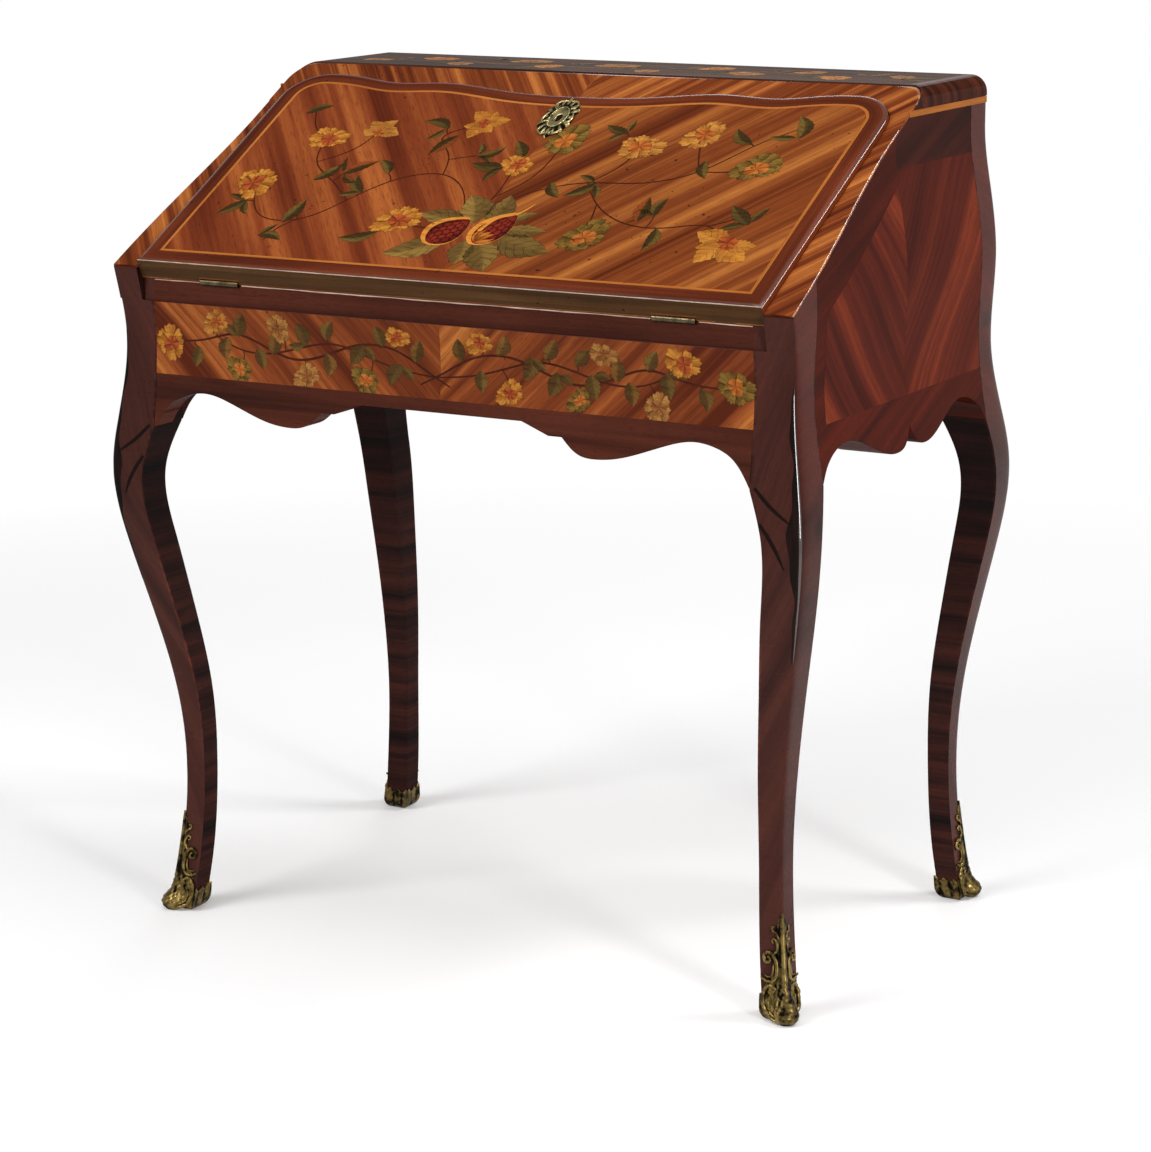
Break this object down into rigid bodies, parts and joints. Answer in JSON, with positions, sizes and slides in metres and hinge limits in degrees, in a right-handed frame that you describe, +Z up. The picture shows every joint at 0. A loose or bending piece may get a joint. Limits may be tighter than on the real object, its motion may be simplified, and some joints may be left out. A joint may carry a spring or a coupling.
{
  "type": "slant-front desk",
  "caption": "Slant-front writing desk on cabriole legs with a hinged fall, sliding well cover, small inner drawers, pigeonholes and cast brass feet.",
  "frame": {"origin": "on the floor under the centre of the overall box", "axes": "+Z up, the fall front faces -Y, +X to the sitter's right"},
  "size_m": [0.832, 0.531, 0.92],
  "materials": {
    "purplewood": "french polished purplewood veneer",
    "tulipwood": "french polished tulipwood veneer with floral marquetry",
    "stringing": "polished boxwood line",
    "oak": "waxed oak",
    "gilt_brass": "cast, chased and worn gilding",
    "brass": "drawn brass, toned",
    "steel": "filed iron",
    "leather": "tooled writing leather"
  },
  "bodies": {
    "desk": {"front_leg_left": "purplewood", "front_leg_right": "purplewood", "back_leg_left": "purplewood", "back_leg_right": "purplewood", "side_board_left": "purplewood", "side_board_right": "purplewood", "frieze_rail": "purplewood", "top_board": "purplewood", "hinge_rail": "purplewood", "slope_banding_left": "tulipwood", "slope_banding_right": "tulipwood", "slope_banding_head": "tulipwood", "head_rail": "oak", "back_board": "oak", "bottom_board": "oak", "bed_front": "oak", "bed_left": "oak", "bed_right": "oak", "well_walls": "oak", "nest_base": "oak", "nest_dividers": "oak", "nest_shelf": "oak", "nest_partitions": "oak", "nest_head": "oak", "sabot_front_left": "gilt_brass", "sabot_front_right": "gilt_brass", "sabot_back_left": "gilt_brass", "sabot_back_right": "gilt_brass", "hinge_leaves_rail": "brass", "hinge_pins": "brass", "hinge_screws_rail": "brass", "lock_keeper": "brass"},
    "fall": {"lid_panel": "purplewood", "lid_cleat_left": "purplewood", "lid_cleat_right": "purplewood", "lid_banding": "purplewood", "lid_stringing": "stringing", "lid_field": "tulipwood", "writing_leather": "leather", "hinge_leaves_lid": "brass", "hinge_screws_lid": "brass", "lock_case": "steel", "escutcheon": "gilt_brass"},
    "bolt": {"lock_bolt": "steel"},
    "cover": {"well_cover": "oak"},
    "drawer_left": {"drawer_left_front": "tulipwood", "drawer_left_sides": "oak", "drawer_left_back": "oak", "drawer_left_bottom": "oak", "drawer_left_knob": "brass"},
    "drawer_middle": {"drawer_middle_front": "tulipwood", "drawer_middle_sides": "oak", "drawer_middle_back": "oak", "drawer_middle_bottom": "oak", "drawer_middle_knob": "brass"},
    "drawer_right": {"drawer_right_front": "tulipwood", "drawer_right_sides": "oak", "drawer_right_back": "oak", "drawer_right_bottom": "oak", "drawer_right_knob": "brass"}
  },
  "joints": [
    {"name": "fall_hinge", "type": "hinge", "parent": "desk", "child": "fall", "pos_m": [0, -0.25311, 0.71546], "axis": [1, 0, 0], "range_deg": [0, 150.9]},
    {"name": "bolt_slide", "type": "slide", "parent": "fall", "child": "bolt", "axis": [0, 0.8744, 0.4852], "range_m": [0, 0.009]},
    {"name": "cover_slide", "type": "slide", "parent": "desk", "child": "cover", "axis": [0, 1, 0], "range_m": [0, 0.185]},
    {"name": "drawer_left_slide", "type": "slide", "parent": "desk", "child": "drawer_left", "axis": [0, -1, 0], "range_m": [0, 0.13]},
    {"name": "drawer_middle_slide", "type": "slide", "parent": "desk", "child": "drawer_middle", "axis": [0, -1, 0], "range_m": [0, 0.13]},
    {"name": "drawer_right_slide", "type": "slide", "parent": "desk", "child": "drawer_right", "axis": [0, -1, 0], "range_m": [0, 0.13]}
  ]
}
